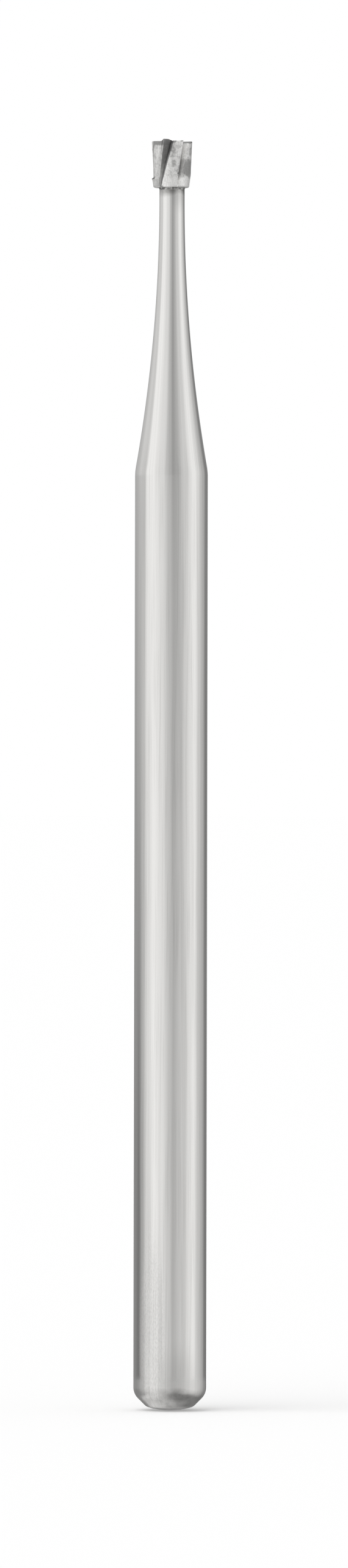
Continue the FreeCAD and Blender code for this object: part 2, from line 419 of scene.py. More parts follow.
    def relief(
        self, height: bpy.types.NodeSocket, depth: float, under: bpy.types.NodeSocket | None = None
    ) -> bpy.types.NodeSocket:
        """Fine relief in the surface, on top of another where one is given.

        Args:
            height: the pattern, from 0 to 1.
            depth: how far its 1 stands above its 0.
            under: the normal of the relief below it, if there is one.

        Returns:
            The normal.
        """
        made = self.node("ShaderNodeBump")
        made.inputs["Distance"].default_value = depth
        self.feed(made.inputs["Height"], height)
        if under is not None:
            self.feed(made.inputs["Normal"], under)
        return made.outputs["Normal"]

    def metal(
        self,
        colour: bpy.types.NodeSocket,
        roughness: bpy.types.NodeSocket,
        normal: bpy.types.NodeSocket,
        bare: bpy.types.NodeSocket | float = 1.0,
    ) -> bpy.types.Material:
        """Ends the material with a metal surface.

        Args:
            colour: its base colour.
            roughness: its roughness.
            normal: its normal with the relief in it.
            bare: how far it mirrors as bare metal does, the rest being matt.

        Returns:
            The finished material.
        """
        shader = self.node("ShaderNodeBsdfPrincipled")
        self.feed(shader.inputs["Metallic"], bare)
        self.feed(shader.inputs["Base Color"], colour)
        self.feed(shader.inputs["Roughness"], roughness)
        self.feed(shader.inputs["Normal"], normal)
        self.feed(self.node("ShaderNodeOutputMaterial").inputs["Surface"], shader.outputs[0])
        return self.material


@dataclass(frozen=True)
class ShankSteel:
    """Ground and polished steel with fine lines along the axis, duller at the tail and darker
    there with grime and painted shade.
    """

    polished: Colour = (0.88, 0.872, 0.855)
    lined: Colour = (0.66, 0.655, 0.64)
    # Colour of the dust, and of the tail's grime and painted shade.
    soiled_and_shaded: Colour = (0.30, 0.295, 0.285)
    scorched: Colour = (0.30, 0.295, 0.285)
    polished_roughness: float = 0.13
    matte_roughness: float = 0.33
    line_width: float = 0.05 * MM
    band_width: float = 0.25 * MM
    speck_size: float = 0.03 * MM
    patch_size: float = 0.3 * MM
    line_depth: float = 0.0004 * MM
    speck_depth: float = 0.0014 * MM
    worn_ramp: Ramp = (0.45, 0.75, 0.0, 0.45)
    dust_ramp: Ramp = (0.35, 0.7, 0.0, 0.2)
    # Mottled darkening towards the tail, partly grime and partly painted shade, then a painted
    # shade spot on the tail's front.
    tail_dirt_and_shade_ramp: Ramp = (0.35, 0.7, 0.3, 0.6)
    tail_shade_ramp: Ramp = (0.25, 0.6, 0.55, 0.9)
    scorch_ramp: Ramp = (0.3, 0.7, 0.55, 1.0)
    matte: Patch = Patch(
        centre=(-0.62 * MM, -1.0 * MM, 2.2 * MM),
        reach=(0.62 * MM, 0.75 * MM, 4.6 * MM),
        ramp=(0.0, 0.6),
    )
    # Painted shade on the tail's front: a dark mottled spot, and a softer, wider shade above it.
    tail_shade_spot: Patch = Patch(
        centre=(0.18 * MM, -1.0 * MM, 0.53 * MM),
        reach=(1.0 * MM, 0.9 * MM, 0.41 * MM),
        ramp=(0.0, 0.9),
    )
    tail_shade_haze: Patch = Patch(
        centre=(0.3 * MM, -1.1 * MM, 0.9 * MM),
        reach=(1.0 * MM, 0.9 * MM, 1.6 * MM),
        ramp=(0.0, 0.8, 0.0, 0.22),
    )
    # A darker patch on the front right of the neck's top, below the joint.
    neck_right_darkening: Patch = Patch(
        centre=(0.3 * MM, -0.4 * MM, 39.4 * MM),
        reach=(0.5 * MM, 0.5 * MM, 0.9 * MM),
        ramp=(0.0, 1.0, 0.0, 0.4),
    )
    darkest_tail_top: float = 0.34 * MM
    tail_top: float = 0.85 * MM
    dull_top: float = 1.3 * MM
    shoulder: float = 30.3 * MM
    shoulder_fade: float = 1.2 * MM
    neck_lines: float = 0.45
    neck_top: float = 39.427 * MM
    scorch_length: float = 0.29 * MM

    def material(self) -> bpy.types.Material:
        """Polished steel under grinding lines, dust, grime and painted shade at the tail, scorch
        and a darker patch at the neck's top, with its matt places.

        Returns:
            The finished steel.
        """
        bench = Bench("shank_steel")
        side = bench.painted("unrolled", "Vector")
        height = bench.along("Z")
        lines = bench.noise(self.line_width, Grain.LONG_LINES, detail=3.0, place=side)
        bands = bench.noise(self.band_width, Grain.LONG_LINES, detail=1.0, shift=0.3, place=side)
        specks = bench.noise(self.speck_size, Grain.SHORT_STREAKS, detail=3.0, shift=0.6)
        patches = bench.noise(self.patch_size, Grain.EVEN, detail=4.0, shift=0.9)
        matte = bench.near(self.matte)

        shoulder_end = self.shoulder + self.shoulder_fade
        fade = bench.between(height, self.shoulder, shoulder_end, 1.0, self.neck_lines)
        colour = self.polished
        for pattern in (lines, bands):
            worn = bench.math("MULTIPLY", bench.between(pattern, *self.worn_ramp), fade)
            colour = bench.tint(worn, colour, self.lined)
        dusty = bench.math("MULTIPLY", matte, bench.between(specks, *self.dust_ramp))
        colour = bench.tint(dusty, colour, self.soiled_and_shaded)

        # Grime and painted shade at the tail: darker in mottled patches towards the bottom, with a
        # painted shade spot and a softer shade on its front.
        tail = bench.between(height, self.tail_top, self.darkest_tail_top)
        dirt_and_shade = bench.math("MULTIPLY", tail, bench.between(patches, *self.tail_dirt_and_shade_ramp))
        patchy = bench.between(patches, *self.tail_shade_ramp)
        tail_shade_spot = bench.math("MULTIPLY", bench.near(self.tail_shade_spot), patchy)
        for layer in (tail_shade_spot, bench.near(self.tail_shade_haze)):
            dirt_and_shade = bench.math("MAXIMUM", dirt_and_shade, layer)
        colour = bench.tint(dirt_and_shade, colour, self.soiled_and_shaded)

        # Scorch below the joint, together with the darker patch on the neck's front right.
        scorch = bench.between(height, self.neck_top - self.scorch_length, self.neck_top)
        scorch = bench.math("MULTIPLY", scorch, bench.between(patches, *self.scorch_ramp))
        scorch = bench.math("MAXIMUM", scorch, bench.near(self.neck_right_darkening))
        colour = bench.tint(scorch, colour, self.scorched)

        dull = bench.math("MAXIMUM", matte, bench.between(height, self.dull_top, self.tail_top))
        roughness = bench.between(dull, 0.0, 1.0, self.polished_roughness, self.matte_roughness)
        normal = bench.relief(bench.math("MULTIPLY", lines, fade), self.line_depth)
        normal = bench.relief(bench.math("MULTIPLY", dull, specks), self.speck_depth, normal)
        return bench.metal(colour, roughness, normal)


@dataclass(frozen=True)
class BrazeMetal:
    """Silver braze that ran out and cooled: dull and mottled, with darker flux between."""

    bright: Colour = (0.56, 0.555, 0.54)
    flux: Colour = (0.12, 0.118, 0.115)
    spot_size: float = 0.07 * MM
    spot_ramp: Ramp = (0.3, 0.7)
    flux_share: float = 0.85
    bright_roughness: float = 0.32
    flux_roughness: float = 0.55
    ripple_size: float = 0.035 * MM
    ripple_depth: float = 0.004 * MM

    def material(self) -> bpy.types.Material:
        """Bright braze with dark spots of flux, darkest on the beads, and a rippled skin.

        Returns:
            The finished braze.
        """
        bench = Bench("braze")
        spots = bench.noise(self.spot_size, detail=3.0)
        ripples = bench.noise(self.ripple_size, shift=0.4)
        dark = bench.math("MAXIMUM", bench.between(spots, *self.spot_ramp), bench.painted("bead"))
        colour = bench.tint(bench.math("MULTIPLY", dark, self.flux_share), self.bright, self.flux)
        roughness = bench.between(
            spots, *self.spot_ramp, self.bright_roughness, self.flux_roughness
        )
        return bench.metal(colour, roughness, bench.relief(ripples, self.ripple_depth))


@dataclass(frozen=True)
class GroundCarbide:
    """Ground tungsten carbide: bright lands with dull blotches, some of them painted shade, fine
    lines, and painted shade in the flutes and along some edges.
    """

    bright: Colour = (0.93, 0.925, 0.91)
    dull: Colour = (0.38, 0.378, 0.37)
    # Painted shade on the rake walls: lighter low down, darker high up.
    shaded_rake_low: Colour = (0.44, 0.438, 0.43)
    shaded_rake_high: Colour = (0.19, 0.189, 0.186)
    line: Colour = (0.52, 0.518, 0.51)
    # Colour of the painted shade in lines and of the dark specks, some of which are painted shade.
    dark: Colour = (0.06, 0.06, 0.06)
    land_bare: float = 0.65
    flute_bare: float = 0.2
    land_roughness: float = 0.36
    dull_roughness: float = 0.55
    cloud_size: float = 0.13 * MM
    cloud_ramp: Ramp = (0.25, 0.75, 0.0, 0.6)
    stain_and_shade_ramp: Ramp = (0.15, 1.0)
    collar_stain_and_shade: float = 0.12
    flute_stain_and_shade: float = 0.6
    mottle_ramp: Ramp = (0.3, 0.7, -0.2, 0.2)
    fine_size: float = 0.039 * MM
    fine_ramp: Ramp = (0.45, 0.75, 0.0, 0.35)
    line_ramp: Ramp = (0.4, 0.72, 0.0, 0.42)
    line_width: float = 0.022 * MM
    line_depth: float = 0.0015 * MM
    # Heights over which the painted shade on the rake walls darkens upwards.
    rake_shade_from: float = 39.8 * MM
    rake_shade_to: float = 40.5 * MM

    def material(self) -> bpy.types.Material:
        """Ground lands under dull stains with some painted shade, and fine lines, then the rake
        walls' painted shade and the painted shade in lines and specks.

        Returns:
            The finished carbide.
        """
        bench = Bench("ground_carbide")
        clouds = bench.noise(self.cloud_size, detail=4.0)
        fine = bench.noise(self.fine_size, detail=3.0, shift=0.7)
        lines = bench.noise(self.line_width, Grain.SHORT_LINES, detail=3.0, shift=0.5)
        in_flute = bench.painted("flute")

        # Dull stains laid over the bright lands, with painted shade at some upper corners.
        cloudy = bench.between(clouds, *self.cloud_ramp)
        uneven = bench.math("ADD", cloudy, bench.painted("stain_and_shade"))
        stained_and_shaded = bench.between(uneven, *self.stain_and_shade_ramp)
        for zone, share in (
            (bench.painted("collar"), self.collar_stain_and_shade),
            (in_flute, self.flute_stain_and_shade),
        ):
            stained_and_shaded = bench.math("MULTIPLY", stained_and_shaded, bench.between(zone, 0.0, 1.0, 1.0, share))
        colour = bench.tint(stained_and_shaded, self.bright, self.dull)
        for pattern, ramp in ((lines, self.line_ramp), (fine, self.fine_ramp)):
            colour = bench.tint(bench.between(pattern, *ramp), colour, self.line, "MULTIPLY")

        # Painted shade on the rake walls, darker towards the top where the flute is deeper,
        # mottled by the clouds.
        deeper_shade = bench.between(bench.along("Z"), self.rake_shade_from, self.rake_shade_to)
        mottled = bench.math("ADD", deeper_shade, bench.between(clouds, *self.mottle_ramp))
        wall = bench.tint(mottled, self.shaded_rake_low, self.shaded_rake_high)
        colour = bench.tint(bench.painted("painted_rake_shade"), colour, wall)
        # Painted shade in lines, and dark specks with more painted shade among them, all in one
        # dark colour.
        marks = bench.math("MAXIMUM", bench.painted("painted_line_shade"), bench.painted("speck_and_shade"))
        colour = bench.tint(marks, colour, self.dark)
        roughness = bench.between(stained_and_shaded, 0.0, 1.0, self.land_roughness, self.dull_roughness)
        bare = bench.between(in_flute, 0.0, 1.0, self.land_bare, self.flute_bare)
        return bench.metal(colour, roughness, bench.relief(lines, self.line_depth), bare)


# The bur


@dataclass
class Shank:
    """The turned steel rod: crowned tail, ground cylinder and the neck swept in on one arc."""

    tail_crown_radius: float = 2.4 * MM
    tail_chamfer: float = 0.41 * MM
    tail_crown_round: float = 0.3 * MM
    tail_edge_round: float = 0.5 * MM
    shoulder_round: float = 2.0 * MM
    neck_radius: float = NECK_RADIUS
    neck_sweep_radius: float = 50.0 * MM
    neck_land: float = 0.37 * MM
    crown_rows: int = 20
    crown_round_rows: int = 10
    edge_round_rows: int = 12
    cylinder_rows: int = 30
    shoulder_rows: int = 12
    neck_rows: int = 70
    segments: int = 256

    def tail(self, radius: float) -> np.ndarray:
        """The tail's outline: a crown arc, a 45 degree chamfer and the cylinder's foot.

        The crown's centre lies on the axis. Both corners are rounded by arcs that touch their
        two neighbours. The centre of the upper round lies one radius inside the cylinder and
        one radius off the chamfer.

        Args:
            radius: radius of the cylinder.

        Returns:
            Radius plus height times i, from the foot up.
        """
        crown_radius, crown_round = self.tail_crown_radius, self.tail_crown_round
        crown = 1j * crown_radius
        edge = radius - self.tail_chamfer
        corner = edge + 1j * (crown_radius - math.sqrt(crown_radius**2 - edge**2))
        chamfer = 1 + 1j
        first = round_centre(corner, chamfer, crown, crown_radius - crown_round, crown_round)
        edge_round = self.tail_edge_round
        second = radius - edge_round + 1j * (
            corner.imag + (radius - edge_round - edge) + edge_round * math.sqrt(2.0)
        )
        off_chamfer = (1 - 1j) / math.sqrt(2.0)
        on_crown = crown + (first - crown) / abs(first - crown) * crown_radius
        on_chamfer = first + off_chamfer * crown_round
        upper_chamfer = second + off_chamfer * edge_round
        return np.concatenate(
            [
                arc(crown, 0j, on_crown, self.crown_rows)[1:],
                arc(first, on_crown, on_chamfer, self.crown_round_rows)[1:],
                arc(second, upper_chamfer, second + edge_round, self.edge_round_rows),
            ]
        )

    def neck(self, radius: float, top: float) -> np.ndarray:
        """The shoulder's round, the arc that sweeps in to the neck, and the straight land.

        Args:
            radius: radius of the cylinder.
            top: height of the neck's end.

        Returns:
            Radius plus height times i, from the cylinder's end up.
        """
        reach = self.neck_sweep_radius
        sweep = self.neck_radius + reach + 1j * (top - self.neck_land)
        drop = math.sqrt(reach**2 - (reach - radius + self.neck_radius) ** 2)
        corner = radius + 1j * (sweep.imag - drop)
        shoulder_reach = reach + self.shoulder_round
        shoulder = round_centre(corner, 1j, sweep, shoulder_reach, self.shoulder_round)
        on_cylinder = radius + 1j * shoulder.imag
        on_sweep = sweep + (shoulder - sweep) / abs(shoulder - sweep) * reach
        return np.concatenate(
            [
                arc(shoulder, on_cylinder, on_sweep, self.shoulder_rows),
                arc(sweep, on_sweep, sweep - reach, self.neck_rows)[1:],
                [self.neck_radius + 1j * top],
            ]
        )

    def profile(self) -> np.ndarray:
        """Half the outline: the tail, the straight cylinder and the neck.

        Returns:
            Radius plus height times i, from the tail up.
        """
        _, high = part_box("shank")
        tail, neck = self.tail(high.x), self.neck(high.x, high.z)
        cylinder = np.linspace(tail[-1], neck[0], self.cylinder_rows)
        return np.concatenate([tail, cylinder[1:], neck[1:]])

    def build(self, finish: ShankSteel) -> bpy.types.Object:
        """The shank, in its steel and in the frame.

        For the grinding lines each point also keeps its place pushed out to the cylinder, so
        that they run along the neck as well.

        Args:
            finish: the steel.

        Returns:
            The piece.
        """
        low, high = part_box("shank")
        rings = turned(self.profile(), self.segments)
        piece = closed_skin("turned_shank", rings, (0.0, 0.0, low.z), (0.0, 0.0, high.z))
        unrolled = rings.copy()
        unrolled[..., :2] *= high.x / np.hypot(rings[..., 0], rings[..., 1])[..., None]
        paint(piece, "unrolled", unrolled)
        piece.data.materials.append(finish.material())
        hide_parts("shank")
        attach(piece, "root")
        return piece


@dataclass
class BrazeJoint:
    """The thin brazed joint, a little wider where it wets the head, with a few beads on it."""

    neck_radius: float = NECK_RADIUS
    bead_azimuths: tuple[float, ...] = (3.0, -58.0, 64.0, 131.0, -149.0)
    bead_width: float = 0.045 * MM
    bead_height: float = 0.022 * MM
    ripple_height: float = 0.006 * MM
    ripple_waves: tuple[int, int] = (7, 11)
    rows: int = 10
    segments: int = 256

    def build(self, finish: BrazeMetal) -> bpy.types.Object:
        """The joint, in its braze and in the frame.

        Its side is the arc of a circle that leaves the neck straight upwards and reaches the
        head at the flare's width. Beads are added to the radius as bell curves round the axis.
        Ripples are the mean of two sine waves with those numbers of waves round the axis, one
        of them a radian ahead, carried to the range from 0 to 1. Both fade out at the neck.

        Args:
            finish: the braze.

        Returns:
            The piece.
        """
        low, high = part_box("braze_joint")
        thickness, flare = high.z - low.z, high.x - self.neck_radius
        bow = (flare**2 + thickness**2) / (2.0 * flare)
        centre = self.neck_radius + bow + 1j * low.z
        side = arc(centre, self.neck_radius + 1j * low.z, high.x + 1j * high.z, self.rows)
        rings = turned(side, self.segments)
        angle = np.arctan2(rings[..., 1], rings[..., 0])
        share = (rings[..., 2] - low.z) / thickness
        azimuths = np.radians(np.array(self.bead_azimuths) - 90.0)[:, None, None]
        apart = np.angle(np.exp(1j * (angle[None] - azimuths)))
        bead = np.exp(-((apart * self.neck_radius / self.bead_width) ** 2)).sum(axis=0)
        few, many = self.ripple_waves
        ripple = 0.5 + 0.25 * np.sin(few * angle) + 0.25 * np.sin(many * angle + 1.0)
        swell = share * (self.bead_height * bead + self.ripple_height * ripple)
        radius = np.hypot(rings[..., 0], rings[..., 1])
        rings[..., :2] *= ((radius + swell) / radius)[..., None]
        piece = closed_skin("brazed_joint", rings, (0.0, 0.0, low.z), (0.0, 0.0, high.z))
        paint(piece, "bead", np.clip(bead * share, 0.0, 1.0))
        piece.data.materials.append(finish.material())
        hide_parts("braze_joint")
        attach(piece, "root")
        return piece


class Zone(Enum):
    """A stretch of the head's cross-section, from one cutting edge to the next."""

    RAKE = 0
    ROOT_AHEAD = 1
    ROOT_BEHIND = 2
    FLANK = 3
    LAND = 4


@dataclass(frozen=True)
class Blotch:
    """A soft place on the carbide, in degrees right of the camera and height above the foot; dull
    patches, dark specks, painted shade and the burr are all made of them.
    """

    azimuth: float
    height: float
    half_width: float
    half_height: float
    strength: float


@dataclass(frozen=True)
class Slices:
    """Slices through the head: points of the plan and where they lie in their flute and land."""

    plan: np.ndarray
    depth: np.ndarray
    root_gap: np.ndarray
    past_mark: np.ndarray
    before_mark: np.ndarray


@dataclass
class CarbideHead:
    """The ground cone with its six twisted blades, and the pressed collar below it."""

    cone_base_radius: float = 0.588 * MM
    cone_tip_radius: float = 0.653 * MM
    collar_height: float = 0.31 * MM
    collar_base_radius: float = 0.575 * MM
    collar_top_radius: float = 0.616 * MM
    collar_offset: float = 0.025 * MM
    collar_round: float = 0.06 * MM
    blade_count: int = 6
    edge_angle: float = -76.1
    twist_rate: float = 13.3 / MM
    rake_angle: float = 20.0
    wheel_angle: float = 48.0
    flute_depth_base: float = 0.065 * MM
    flute_depth_tip: float = 0.382 * MM
    flute_root_round: float = 0.02 * MM
    end_relief_angle: float = 11.0
    front_relief_angle: float = 3.0
    least_cut: float = 0.002 * MM
    proud_blade: int = 5
    proud_height: float = 0.045 * MM
    proud_reach: float = 0.07 * MM
    proud_along: tuple[float, float] = (0.2 * MM, 0.45 * MM)
    tip_round: float = 0.025 * MM
    lip_slope: float = 0.03 * MM
    blend_slope: float = 0.16 * MM
    lip_narrowness: int = 4
    # Painted shade: lines in the flutes' roots, on the heel and along the edge beside the flute in
    # front, and on the rake walls, blade by blade.
    root_shade_width: float = 0.03 * MM
    root_shade_depth: float = 0.0715 * MM
    root_shade_fade: float = 0.052 * MM
    faint_root_shade: float = 0.5
    rake_shade_by_blade: tuple[float, ...] = (0.0, 0.6, 0.6, 0.7, 0.8, 1.0)
    heel_shade_width: float = 0.055 * MM
    heel_shade_fall: float = 3.0
    heel_shade_strength: float = 0.85
    edge_shade_width: float = 0.05 * MM
    edge_shade_fall: float = 1.5
    edge_shade_strength: float = 0.6
    edge_shade_from: float = 0.6 * MM
    soft_shade_width: float = 0.17 * MM
    soft_shade_strength: float = 0.4
    zone_columns: tuple[int, ...] = (10, 4, 5, 12, 44)
    past_root: float = 0.02
    most_setback: float = 0.9
    least_slope: float = 0.001
    top_steps: int = 8
    round_rows: int = 8
    collar_rows: int = 14
    cone_rows: int = 84
    face_rows: int = 5
    # Dull stains on the lands; those at the upper left corner and along the top at the right are
    # painted shade.
    blotches: tuple[Blotch, ...] = (
        Blotch(-2.0, 1.25 * MM, 0.14 * MM, 0.30 * MM, 0.42),
        Blotch(3.0, 1.50 * MM, 0.11 * MM, 0.07 * MM, 0.7),
        Blotch(7.0, 0.74 * MM, 0.07 * MM, 0.12 * MM, 0.35),
        Blotch(29.0, 1.50 * MM, 0.07 * MM, 0.05 * MM, 0.5),
        Blotch(58.0, 1.475 * MM, 0.22 * MM, 0.065 * MM, 0.9),
        Blotch(70.0, 1.15 * MM, 0.10 * MM, 0.14 * MM, 0.4),
        Blotch(58.0, 0.62 * MM, 0.46 * MM, 0.28 * MM, 0.8),
        Blotch(-46.0, 1.46 * MM, 0.26 * MM, 0.11 * MM, 0.85),
        Blotch(-82.0, 1.0 * MM, 0.10 * MM, 0.5 * MM, 0.35),
        Blotch(130.0, 0.9 * MM, 0.2 * MM, 0.3 * MM, 0.6),
        Blotch(-150.0, 0.7 * MM, 0.15 * MM, 0.25 * MM, 0.6),
    )
    # Dark specks; those beside the collar's lip, at a flute's end on the collar and along the top
    # at the right are painted shade.
    specks: tuple[Blotch, ...] = (
        Blotch(-72.0, 0.305 * MM, 0.12 * MM, 0.035 * MM, 1.0),
        Blotch(18.5, 0.44 * MM, 0.02 * MM, 0.03 * MM, 0.9),
        Blotch(38.0, 1.26 * MM, 0.035 * MM, 0.04 * MM, 0.35),
        Blotch(66.0, 1.49 * MM, 0.34 * MM, 0.05 * MM, 0.72),
        Blotch(68.0, 1.24 * MM, 0.05 * MM, 0.04 * MM, 0.35),
        Blotch(-34.0, 0.01 * MM, 0.05 * MM, 0.04 * MM, 0.6),
    )
    burr: Blotch = Blotch(-80.0, 0.285 * MM, 0.14 * MM, 0.03 * MM, 0.014 * MM)

    def __post_init__(self) -> None:
        """Reads the head's foot and length from the frame, and lays out its columns.

        Each column has a zone, a share of the way through it and a blade. The first column
        behind a root stands a little past it, on the next blade's side.
        """
        low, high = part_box("carbide_head")
        self.foot, self.length = low.z, high.z - low.z
        self.rake = math.radians(self.rake_angle)
        self.flank = math.radians(self.wheel_angle - self.rake_angle)
        self.pitch = 2.0 * math.pi / self.blade_count
        shares = [np.linspace(0.0, 1.0, count, endpoint=False) for count in self.zone_columns]
        shares[Zone.ROOT_BEHIND.value] += self.past_root
        blade = np.arange(self.blade_count)
        self.zone = np.tile(np.repeat(np.arange(len(shares)), self.zone_columns), len(blade))
        self.share = np.tile(np.concatenate(shares), len(blade))
        self.blade = np.repeat(blade, sum(self.zone_columns))

    def along(self, base: float, tip: float, height: np.ndarray) -> np.ndarray:
        """A size that changes evenly from the foot to the tip."""
        return base + (tip - base) * height / self.length

    def edge_turn(self, height: np.ndarray, blade: np.ndarray) -> np.ndarray:
        """Angle of a blade's cutting edge round the axis, which grows evenly with height."""
        return (
            np.radians(self.edge_angle) + np.radians(self.twist_rate) * height + self.pitch * blade
        )

    def root(self, height: np.ndarray) -> np.ndarray:
        """Virtual root of the flute, where rake and flank meet, seen from its cutting edge.

        Args:
            height: height above the foot.

        Returns:
            Its place in a plan that is turned so that the cutting edge lies on the real axis.
        """
        radius = self.along(self.cone_base_radius, self.cone_tip_radius, height)
        depth = self.along(self.flute_depth_base, self.flute_depth_tip, height)
        return radius - depth + 1j * depth * math.tan(self.rake)

    def marks(
        self, height: np.ndarray, blade: np.ndarray, blank: np.ndarray, offset: np.ndarray
    ) -> list[np.ndarray]:
        """Angles past the cutting edge at which the cross-section changes from zone to zone.

        Rake and flank are straight lines from the virtual root. Each meets the blank's circle
        where the usual quadratic for a line and a circle says. The root's round reaches out
        along it by the round's setback, or by that setback's largest share of the way out.

        Args:
            height: height above the foot.
            blade: number of the blade.
            blank: radius of the uncut blank.
            offset: how far the blank's centre lies to the left of the axis.

        Returns:
            The angles of the cutting edge, the rake's inner end, the virtual root, the flank's
            inner end and the heel of the land behind.
        """
        root = self.root(height)
        centre = -offset * np.exp(-1j * self.edge_turn(height, blade))
        setback = self.flute_root_round / math.tan((self.rake + self.flank) / 2.0)
        found = []
        for way in (np.exp(-1j * self.rake), np.exp(1j * self.flank)):
            along = ((root - centre) * np.conj(way)).real
            inside = along**2 - abs(root - centre) ** 2 + blank**2
            reach = np.maximum(-along + np.sqrt(np.maximum(inside, 0.0)), self.least_cut)
            found.append(np.angle(root + way * reach))
            rounded = np.minimum(setback, self.most_setback * reach)
            found.append(np.angle(root + way * rounded))
        edge, root_start, heel, root_end = found
        return [edge, root_start, np.angle(root), root_end, heel]

    def section(self, height: np.ndarray, blank: np.ndarray, offset: np.ndarray) -> Slices:
        """The head's surface at those heights, as points of the plan and depths of cut.

        Every column stands at an angle between two marks. Its radius is the smaller of the
        blank's and the flute's there: R sin(rake) / sin(rake + angle) on the rake, the near
        side of the root's circle, and the like line through the root on the flank.

        Args:
            height: heights above the foot, of shape (rows, columns).
            blank: the blank's radius there.
            offset: how far the blank's centre lies to the left of the axis.

        Returns:
            The slices, one for each row.
        """
        marks = self.marks(height, self.blade, blank, offset)
        following = self.marks(height, self.blade + 1, blank, offset)[0] + self.pitch
        ends = np.stack([*marks, following])
        zone = np.broadcast_to(self.zone, ends.shape[1:])
        first = np.take_along_axis(ends, zone[None], 0)[0]
        last = np.take_along_axis(ends, zone[None] + 1, 0)[0]
        angle = first + (last - first) * self.share
        ray = np.exp(1j * angle)

        turn = self.edge_turn(height, self.blade)
        centre = -offset * np.exp(-1j * turn)
        along = (centre * np.conj(ray)).real
        uncut = along + np.sqrt(along**2 - abs(centre) ** 2 + blank**2)

        cone = self.along(self.cone_base_radius, self.cone_tip_radius, height)
        on_rake = cone * math.sin(self.rake) / np.sin(self.rake + angle)
        root = self.root(height)
        half = (self.rake + self.flank) / 2.0
        hub = root + np.exp(1j * (self.flank - half)) * self.flute_root_round / math.sin(half)
        along = (hub * np.conj(ray)).real
        inside = np.maximum(along**2 - abs(hub) ** 2 + self.flute_root_round**2, 0.0)
        on_root = along - np.sqrt(inside)
        normal = 1j * np.exp(1j * self.flank)
        off_flank = (root * np.conj(normal)).real
        on_flank = off_flank / np.minimum((ray * np.conj(normal)).real, -self.least_slope)
        cut = np.select(
            [
                zone == Zone.RAKE.value,
                zone <= Zone.ROOT_BEHIND.value,
                zone == Zone.FLANK.value,
            ],
            [on_rake, on_root, on_flank],
            uncut,
        )
        radius = np.minimum(uncut, cut)
        root_to_round = self.flute_root_round * (1.0 / math.sin(half) - 1.0)
        return Slices(
            plan=radius * np.exp(1j * (angle + turn)),
            depth=uncut - radius,
            root_gap=abs(radius * ray - root) - root_to_round,
            past_mark=radius * (angle - first),
            before_mark=radius * (last - angle),
        )

    def end_height(self, plan: np.ndarray) -> np.ndarray:
        """Height of the end face: behind each blade's rake line it falls at the relief angle.

        The proud blade stands a little higher at its corner, and falls to the others' height by
        a smooth step, three squares less two cubes of its share, which is short behind the edge
        and longer along the rake. The land in front, behind the first blade, is ground flatter
        than the rest.

        Args:
            plan: points of the plan, one for each column in the last axis.

        Returns:
            Their heights above the foot.
        """
        blade = self.blade + (self.zone >= Zone.ROOT_BEHIND.value)
        turned_back = plan * np.exp(-1j * self.edge_turn(np.array(self.length), blade))
        backwards = -math.sin(self.rake) - 1j * math.cos(self.rake)
        behind = ((turned_back - self.cone_tip_radius) * np.conj(backwards)).real
        behind = np.maximum(behind, 0.0)
        inwards = ((self.cone_tip_radius - turned_back) * np.exp(1j * self.rake)).real
        level, low = self.proud_along
        down_rake = (inwards - level) / (low - level)
        step = np.clip(np.maximum(behind / self.proud_reach, down_rake), 0.0, 1.0)
        fallen = step**2 * (3.0 - 2.0 * step)
        number = blade % self.blade_count
        proud = (number == self.proud_blade) * (1.0 - fallen)
        relief = np.where(number == 0, self.front_relief_angle, self.end_relief_angle)
        fall = behind * np.tan(np.radians(relief))
        return self.length - self.proud_height * (1.0 - proud) - fall

    def cone_top(self) -> np.ndarray:
        """Height of the end face over each column, found by stepping to and fro a few times.

        Each step takes the cone's rim at the height that the last one found.

        Returns:
            The heights above the foot, as one row.
        """
        height = np.full((1, len(self.zone)), self.length)
        for _ in range(self.top_steps):
            rim = self.along(self.cone_base_radius, self.cone_tip_radius, height) - self.tip_round
            height = self.end_height(self.section(height, rim, 0.0 * rim).plan)
        return height

    def ledge_width(self) -> np.ndarray:
        """Height over which collar and cone run into each other: a lip at the left, else soft.

        How far to the left a column lies, from 0 to 1, to a power is the lip's share there.

        Returns:
            The height, for each column.
        """
        rim = np.full((1, len(self.zone)), self.collar_top_radius)
        plan = self.section(self.collar_height + 0.0 * rim, rim, 0.0 * rim).plan[0]
        left = (0.5 - 0.5 * plan.real / abs(plan)) ** self.lip_narrowness
        return self.blend_slope + (self.lip_slope - self.blend_slope) * left

    def collar_profile(self, ledge_width: np.ndarray) -> np.ndarray:
        """The collar's side from its rounded foot up, for each column.

        Args:
            ledge_width: height of the ledge above it, for each column.

        Returns:
            Radius plus height times i, of shape (rows, columns).
        """
        slope = math.atan2(self.collar_top_radius - self.collar_base_radius, self.collar_height)
        lean = self.collar_round * (math.tan(slope) - 1.0 / math.cos(slope))
        hub = self.collar_base_radius + lean + 1j * self.collar_round
        side = hub + self.collar_round * np.exp(-1j * slope)
        foot_round = arc(hub, hub - 1j * self.collar_round, side, self.round_rows)
        rise = self.collar_height - ledge_width / 2.0 - side.imag
        lip = side + (math.tan(slope) + 1j) * rise
        share = np.linspace(0.0, 1.0, self.collar_rows)[1:, None]
        return np.concatenate([foot_round[:, None] + 0.0 * lip, side + (lip - side) * share])

